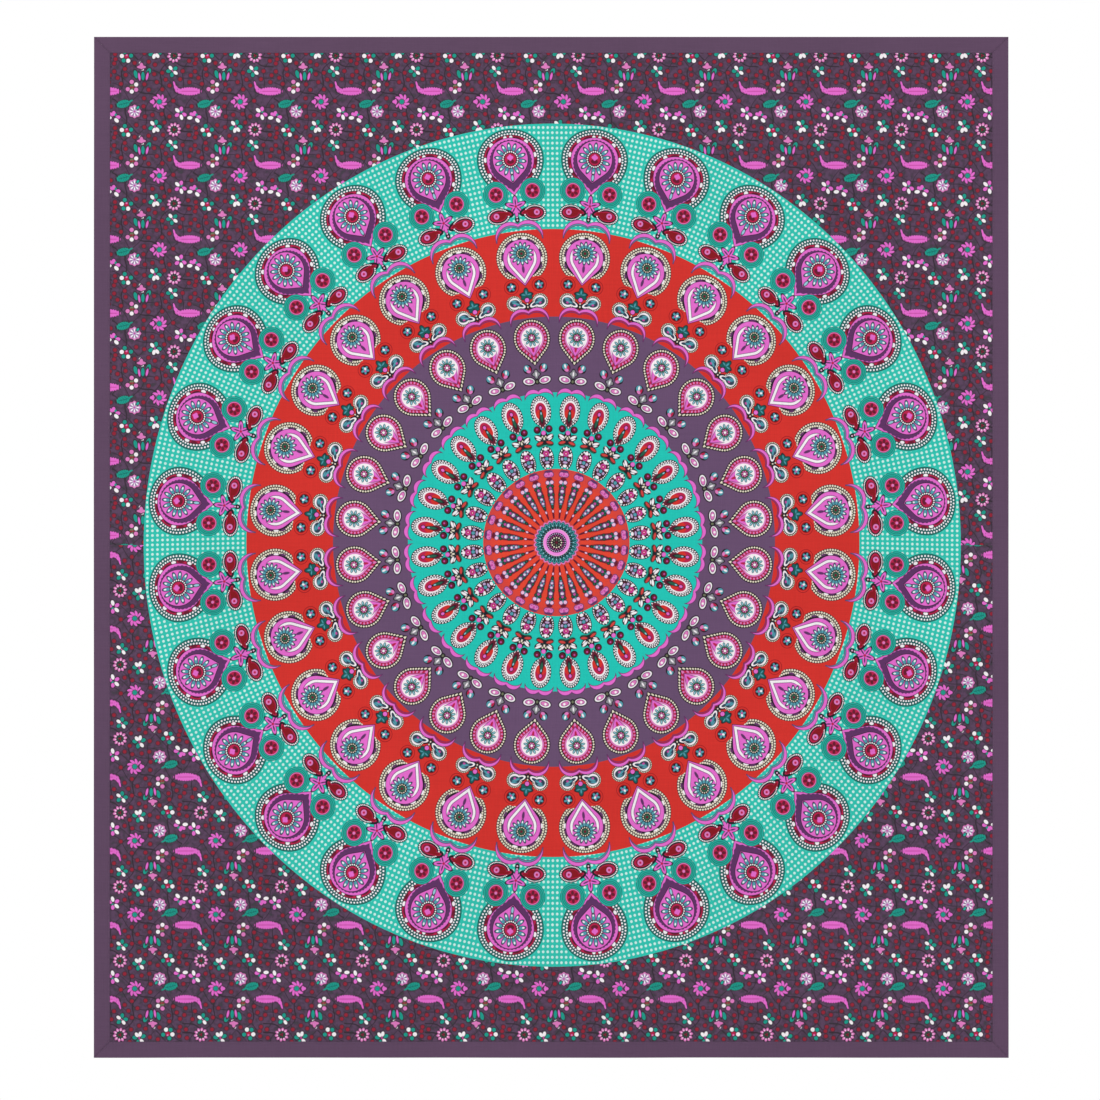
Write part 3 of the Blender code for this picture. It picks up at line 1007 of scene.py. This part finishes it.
def spoke_angles():
    """Even spokes, with the four nearest the panel's corners turned to meet them."""
    angles = [TAU * index / SPOKES for index in range(SPOKES)]
    middle_x, middle_z, wide, high = lie(OUTER_RADIUS)
    for x in (PANEL_LOW.x, PANEL_HIGH.x):
        for z in (PANEL_LOW.z, PANEL_HIGH.z):
            corner = math.atan2((x - middle_x) / wide, (z - middle_z) / high) % TAU
            angles[round(corner / TAU * SPOKES) % SPOKES] = corner
    return angles


def panel_mesh(depth):
    """The panel's surface in rings round the mandala's middle, at a distance in front.

    Returns its points, the rings' print coordinates, its faces and each face's region.
    """
    bounds = [0] + [ring[0] for ring in RINGS.values()]
    radii, regions = [], []
    for low, high, name in zip(bounds, bounds[1:], RINGS):
        count = max(3, round((high - low) / RING_STEP))
        for index in range(count):
            radii.append(low + (high - low) * (index + 1) / count)
            regions.append(name)
    regions += ["floral_field"] * FIELD_STEPS
    angles = spoke_angles()
    x, z = print_spot(0, 0)
    points = [(x, -depth, z)]
    prints = [(0, 0)]
    for radius in radii:
        for angle in angles:
            x, z = print_spot(radius, angle)
            points.append((x, -depth, z))
            prints.append((radius * math.sin(angle) * MM, radius * math.cos(angle) * MM))
    rim = points[-SPOKES:]
    for step in range(1, FIELD_STEPS + 1):
        share = step / FIELD_STEPS
        for (inner_x, _, inner_z), angle in zip(rim, angles):
            outer_x, outer_z = edge_spot(angle)
            points.append((inner_x + (outer_x - inner_x) * share, -depth,
                           inner_z + (outer_z - inner_z) * share))
    faces = [(0, 1 + index, 1 + (index + 1) % SPOKES) for index in range(SPOKES)]
    faces += strips(len(regions), SPOKES, first=1, closed=True)
    return points, prints, faces, [region for region in regions for _ in range(SPOKES)]


def make_panel(name, depth, reverse):
    points, prints, faces, regions = panel_mesh(depth)
    materials = [printed_material(region, reverse) for region in REGIONS]
    panel = new_object(name, drape(points), turned(faces) if reverse else faces, materials)
    layer = panel.data.uv_layers.new(name="print")
    for polygon, region in zip(panel.data.polygons, regions):
        polygon.material_index = REGIONS.index(region)
        for loop, vertex in zip(polygon.loop_indices, polygon.vertices):
            if region == "floral_field":
                x, _, z = points[vertex]
                layer.data[loop].uv = (x - CENTRE_X, z - CENTRE_Z)
            else:
                layer.data[loop].uv = prints[vertex]
    return panel


# ---------------------------------------------------------------- bands and their seams

SIDES = {"top": 0, "right": 90, "bottom": 180, "left": 270}
MITRE_GAP = 0.00006
BAND_STEP = 0.008
FOLD_START = 0.001
FOLD_INWARD = 0.0009
FOLD_DEPTH = 0.0007
SEAM_INSET = 0.003
SEAM_PITCH = 0.0032
SEAM_STITCH = 0.0026
SEAM_SUNK = 0.00012
SEAM_DIP = 0.0002
SEAM_SPREAD = 0.0009
SEAM_EDGE = 0.0012


def side_place(side):
    """Takes a place along, inward of and in front of a side to the frame.

    Along runs to the right when the side is turned to the top. Inward is the distance from
    the cloth's outer edge towards its middle.
    """
    turn = math.radians(SIDES[side])
    reach = HALF_HEIGHT if side in ("top", "bottom") else HALF_WIDTH
    cosine, sine = round(math.cos(turn)), round(math.sin(turn))

    def place(along, inward, y):
        out = reach - inward
        return (CENTRE_X + along * cosine + out * sine, y, CENTRE_Z - along * sine + out * cosine)

    return place


def band_profile():
    """The folded band's middle surface, as (inward, y), from its front leaf to its back one."""
    front = BAND_LOW.y + CLOTH / 2
    back = BAND_HIGH.y - CLOTH / 2
    seam = BAND_WIDTH - SEAM_INSET
    leaf = [BAND_WIDTH - share * (BAND_WIDTH - FOLD_START) for share in np.linspace(0, 1, 16)]
    leaf = sorted(set(leaf + [seam - SEAM_EDGE, seam, seam + SEAM_EDGE]), reverse=True)

    def dip(inward):
        return SEAM_DIP * math.exp(-((inward - seam) / SEAM_SPREAD) ** 2)

    profile = [(inward, front + dip(inward)) for inward in leaf]
    for angle in np.linspace(0, math.pi, 9)[1:-1]:
        profile.append((FOLD_INWARD - FOLD_DEPTH * math.sin(angle),
                        (front + back) / 2 - (back - front) / 2 * math.cos(angle)))
    return profile + [(inward, back - dip(inward)) for inward in reversed(leaf)]


def make_band(side, material):
    half = HALF_WIDTH if side in ("top", "bottom") else HALF_HEIGHT
    place = side_place(side)
    steps = round(2 * half / BAND_STEP)
    profile = band_profile()
    points = []
    for step in range(steps + 1):
        share = 2 * step / steps - 1
        for inward, y in profile:
            points.append(place(share * (half - MITRE_GAP - inward), inward, y))
    faces = strips(steps + 1, len(profile))
    band = new_object(side + "_band_cloth", drape(points), faces, [material])
    solid = band.modifiers.new("cloth_thickness", "SOLIDIFY")
    solid.thickness = CLOTH * 0.9
    solid.offset = 0
    return band


# A stitch's rings of points: how far along it each lies, its height and its size in radii.
STITCH_RINGS = ((0, -0.9, 0.5), (0.12, -0.2, 0.95), (0.5, 0, 1.05), (0.88, -0.2, 0.95),
                (1, -0.9, 0.5))
STITCH_SIDES = 6


def sew(name, stitches, material, radius=THREAD / 2, draped=False):
    """Stitches from place to place, each a short thread that rises and dips back, in one object.

    Each is (start, end, facing): facing is 1 for the cloth's back and -1 for its front.
    """
    points, faces = [], []
    for start, end, facing in stitches:
        faces += tube(len(STITCH_RINGS), STITCH_SIDES, len(points))
        start, end, out = Vector(start), Vector(end), Vector((0, facing, 0))
        side = (end - start).normalized().cross(out).normalized()
        for share, height, size in STITCH_RINGS:
            middle = start.lerp(end, share) + out * height * radius
            for index in range(STITCH_SIDES):
                angle = TAU * index / STITCH_SIDES
                offset = side * math.cos(angle) + out * math.sin(angle)
                points.append(middle + offset * radius * size)
    return new_object(name, drape(points) if draped else points, faces, [material])


def make_seam(side, kind, material):
    """A band's row of stitches, on its front (needle) or back (bobbin) side."""
    low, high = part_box(f"{side}_{kind}_thread")
    facing = -1 if kind == "needle" else 1
    y = (low[1] + high[1]) / 2 - facing * SEAM_SUNK
    count = int(max(high[0] - low[0], high[2] - low[2]) // SEAM_PITCH)
    place = side_place(side)
    stitches = []
    for index in range(count):
        along = (index - (count - 1) / 2) * SEAM_PITCH
        ends = [place(along + way * SEAM_STITCH / 2, BAND_WIDTH - SEAM_INSET, y) for way in (-1, 1)]
        stitches.append((*ends, facing))
    return sew(f"{side}_{kind}_stitches", stitches, material, draped=True)


# ---------------------------------------------------------------- loops and patches

STRIP_WIDTH = 0.008
STRIP_SIDES = 20
EDGING_INSET = 0.0011
EDGING_PITCH = 0.003
EDGING_RADIUS = 0.00016
EDGING_SUNK = 0.0002
EDGING_SHORT = 0.001
RIM_WIDTH = 0.005
RIM_PITCH = 0.0026
RISE_START = 0.0006
RISE_WIDTH = 0.0014
TACK_Z = 0.0025
TACK_PITCH = 0.0024
TACK_DEPTH = 0.0007
TACK_SPREAD = 0.0007
EDGE_DROP = 0.00012
PATCH_COLUMNS = 66
PATCH_ROWS = 26
SUNK = 0.0001


def loop_section(thick):
    """The strip's cross-section: flat, with rounded folded edges pinched in by their stitches."""
    section = []
    for index in range(STRIP_SIDES):
        angle = TAU * index / STRIP_SIDES
        cosine, sine = math.cos(angle), math.sin(angle)
        across = math.copysign(abs(cosine) ** 0.45, cosine)
        deep = math.copysign(abs(sine) ** 0.6, sine)
        pinch = 1 - 0.22 * math.exp(-((abs(across) - 0.72) / 0.09) ** 2)
        section.append((across * STRIP_WIDTH / 2, deep * thick / 2 * pinch))
    return section


def make_loop(number, material):
    """A strip of folded cotton in a U."""
    low, high = corners(f"hanging_loop_{number}")
    middle = (low + high) / 2
    outer = (high.x - low.x) / 2
    bend = outer - STRIP_WIDTH / 2
    bend_z = low.z + outer
    leg = np.linspace(high.z, bend_z, 10)
    path = [(Vector((bend, 0, z)), Vector((1, 0, 0))) for z in leg[:-1]]
    for angle in np.linspace(0, math.pi, 25):
        out = Vector((math.cos(angle), 0, -math.sin(angle)))
        path.append((Vector((0, 0, bend_z)) + out * bend, out))
    path += [(Vector((-bend, 0, z)), Vector((-1, 0, 0))) for z in leg[-2::-1]]
    points = []
    for spot, out in path:
        for across, deep in loop_section(high.y - low.y):
            where = spot + out * across
            points.append((middle.x + where.x, middle.y + deep, where.z))
    loop = new_object(f"cotton_loop_{number}", points, tube(len(path), STRIP_SIDES), [material])
    turn_out(loop)
    return loop


def turn_out(obj):
    """Turns a closed mesh's faces outwards."""
    mesh = bmesh.new()
    mesh.from_mesh(obj.data)
    bmesh.ops.recalc_face_normals(mesh, faces=mesh.faces)
    mesh.to_mesh(obj.data)
    mesh.free()


def make_loop_edging(number, material):
    """The two rows of stitches that hold a loop's folded edges, on each of its faces."""
    low, high = corners(f"hanging_loop_{number}")
    middle_x = (low.x + high.x) / 2
    outer = (high.x - low.x) / 2
    bend_z = low.z + outer
    straight = high.z - bend_z - EDGING_SHORT
    stitches = []
    for radius in (outer - EDGING_INSET, outer - STRIP_WIDTH + EDGING_INSET):
        arc = math.pi * radius
        length = arc + 2 * straight

        def spot(run, y):
            if run < 0:
                x, z = radius, bend_z - run
            elif run > arc:
                x, z = -radius, bend_z + run - arc
            else:
                x = radius * math.cos(run / radius)
                z = bend_z - radius * math.sin(run / radius)
            return middle_x + x, y, z

        count = int(length // EDGING_PITCH)
        for index in range(count):
            runs = [(index + share) / count * length - straight for share in (0.1, 0.9)]
            for y, facing in ((high.y - EDGING_SUNK, 1), (low.y + EDGING_SUNK, -1)):
                stitches.append((*[spot(run, y) for run in runs], facing))
    return sew(f"loop_edge_stitches_{number}", stitches, material, EDGING_RADIUS)


def make_patch(number, material):
    """The patch over a loop's ends: a sewn-down rim and a soft block raised over the ends."""
    low, high = corners(f"loop_patch_{number}")
    rim_y = low.y + CLOTH
    columns, rows = PATCH_COLUMNS, PATCH_ROWS
    front, back = [], []
    for row in range(rows + 1):
        z = low.z + (high.z - low.z) * row / rows
        for column in range(columns + 1):
            x = low.x + (high.x - low.x) * column / columns
            side = min(x - low.x, high.x - x)
            top = high.z - z
            rise = 1
            for inset in (side, top):
                rise *= eased((inset - RIM_WIDTH + RISE_START) / RISE_WIDTH)
            tack = math.exp(-((z - TACK_Z) / TACK_SPREAD) ** 2) if side > RIM_WIDTH + 0.001 else 0
            y = rim_y + (high.y - rim_y) * rise - TACK_DEPTH * tack * rise
            if min(side, top, z - low.z) < 1e-6:
                y -= EDGE_DROP
            back.append((x, y, z))
            front.append((x, low.y, z))
    width = columns + 1
    layer = len(back)
    faces = strips(rows + 1, width)
    faces += [(a, b, c, d) for a, d, c, b in strips(rows + 1, width, layer)]
    rim = list(range(width))
    rim += [row * width + columns for row in range(1, rows + 1)]
    rim += [rows * width + column for column in reversed(range(columns))]
    rim += [row * width for row in reversed(range(1, rows))]
    faces += [(a, b, layer + b, layer + a) for a, b in zip(rim, rim[1:] + rim[:1])]
    patch = new_object(f"patch_cloth_{number}", back + front, faces, [material])
    turn_out(patch)
    patch.data.set_sharp_from_angle(angle=math.radians(50))
    return patch


def stitches_between(start, end, pitch):
    """Stitches on the cloth's back from one place to another."""
    start, end = np.array(start), np.array(end)
    count = round(math.dist(start, end) / pitch)
    return [(start + (end - start) * (index + 0.1) / count,
             start + (end - start) * (index + 0.9) / count, 1) for index in range(count)]


def make_patch_stitches(number, material):
    """The rim's three runs of stitches and the tack across the loop's ends."""
    low, high = corners(f"loop_rim_thread_{number}")
    left, right, top = low.x + THREAD / 2, high.x - THREAD / 2, high.z - THREAD / 2
    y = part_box(f"loop_patch_{number}")[0][1] + CLOTH + SUNK
    turns = [(left, y, low.z), (left, y, top), (right, y, top), (right, y, low.z)]
    runs = []
    for start, end in zip(turns, turns[1:]):
        runs += stitches_between(start, end, RIM_PITCH)
    rim = sew(f"patch_rim_stitches_{number}", runs, material)

    low, high = corners(f"loop_tack_thread_{number}")
    middle = (low + high) / 2
    start = (low.x, middle.y - SUNK, middle.z)
    end = (high.x, middle.y - SUNK, middle.z)
    tack = sew(f"loop_tack_stitches_{number}", stitches_between(start, end, TACK_PITCH), material)
    return rim, tack


# ---------------------------------------------------------------- stage, light and camera

VIEW_WIDTH = 2.586
VIEW_SHIFT_X = -0.0029
VIEW_SHIFT_Z = -0.0065
CAMERA_DISTANCE = 7.0
FLOOR_DROP = 0.5
FLOOR_HALF_WIDTH = 3.0
FLOOR_FRONT = -4.5
FLOOR_BACK = 1.5
LIGHT_SIZE = 2.5
LIGHT_POWER = 16.0


def make_stage():
    z = BOTTOM - FLOOR_DROP
    outline = [(-FLOOR_HALF_WIDTH, FLOOR_FRONT, z), (FLOOR_HALF_WIDTH, FLOOR_FRONT, z),
               (FLOOR_HALF_WIDTH, FLOOR_BACK, z), (-FLOOR_HALF_WIDTH, FLOOR_BACK, z)]
    floor_paint = bpy.data.materials.new("pale_floor")
    floor_paint.use_nodes = True
    shader = floor_paint.node_tree.nodes["Principled BSDF"]
    shader.inputs["Base Color"].default_value = (0.86, 0.86, 0.86, 1.0)
    shader.inputs["Roughness"].default_value = 0.9
    floor = new_object("floor", outline, [(0, 1, 2, 3)], [floor_paint], smooth=False)


def add_area_light(name, x, y, above):
    """A light that looks at the cloth's middle, from so far above it."""
    data = bpy.data.lights.new(name, "AREA")
    data.size = LIGHT_SIZE
    data.energy = LIGHT_POWER
    light = bpy.data.objects.new(name, data)
    light.location = (x, y, CENTRE_Z + above)
    aim = Vector((CENTRE_X, 0, CENTRE_Z)) - light.location
    light.rotation_euler = aim.to_track_quat("-Z", "Y").to_euler()
    bpy.context.scene.collection.objects.link(light)


def make_lights():
    world = bpy.context.scene.world or bpy.data.worlds.new("studio")
    bpy.context.scene.world = world
    world.use_nodes = True
    background = world.node_tree.nodes["Background"]
    background.inputs["Color"].default_value = (1.0, 1.0, 1.0, 1.0)
    background.inputs["Strength"].default_value = 1.0
    add_area_light("key", -3.4, -3.6, 2.6)
    add_area_light("back_fill", 2.6, 4.2, 1.6)


def make_camera():
    data = bpy.data.cameras.new("camera")
    data.sensor_fit = "HORIZONTAL"
    data.angle = 2 * math.atan(VIEW_WIDTH / 2 / CAMERA_DISTANCE)
    camera = bpy.data.objects.new("camera", data)
    camera.location = (CENTRE_X + VIEW_SHIFT_X, BAND_LOW.y - CAMERA_DISTANCE,
                       CENTRE_Z + VIEW_SHIFT_Z)
    camera.rotation_euler = (math.pi / 2, 0, 0)
    bpy.context.scene.collection.objects.link(camera)
    bpy.context.scene.camera = camera


def place_piece(piece, body, slot, *nodes):
    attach(piece, body)
    if nodes:
        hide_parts(*nodes)
    return piece


def main():
    bpy.context.scene.view_settings.view_transform = "Standard"
    make_camera()
    make_lights()
    make_stage()
    band_cotton = plain_material("purple_cotton", 0.35)
    loop_cotton = plain_material("purple_loop_cotton", 0.5)
    thread = thread_material()

    front = make_panel("panel_front", -PANEL_LOW.y, reverse=False)
    place_piece(front, "cloth", "printed_cotton", "printed_panel")
    back = make_panel("panel_reverse", -PANEL_HIGH.y, reverse=True)
    place_piece(back, "cloth", "printed_cotton")
    for side in SIDES:
        band = make_band(side, band_cotton)
        place_piece(band, "cloth", "band_cotton", side + "_border_band")
        for kind in ("needle", "bobbin"):
            seam = make_seam(side, kind, thread)
            place_piece(seam, "cloth", "sewing_thread", f"{side}_{kind}_thread")
    for number in LOOP_NUMBERS:
        patch = make_patch(number, band_cotton)
        place_piece(patch, "cloth", "band_cotton", f"loop_patch_{number}")
        rim, tack = make_patch_stitches(number, thread)
        place_piece(rim, "cloth", "sewing_thread", f"loop_rim_thread_{number}")
        place_piece(tack, "cloth", "sewing_thread", f"loop_tack_thread_{number}")
        loop = make_loop(number, loop_cotton)
        place_piece(loop, f"loop_{number}", "loop_cotton", f"hanging_loop_{number}")
        edging = make_loop_edging(number, thread)
        place_piece(edging, f"loop_{number}", "sewing_thread")


main()
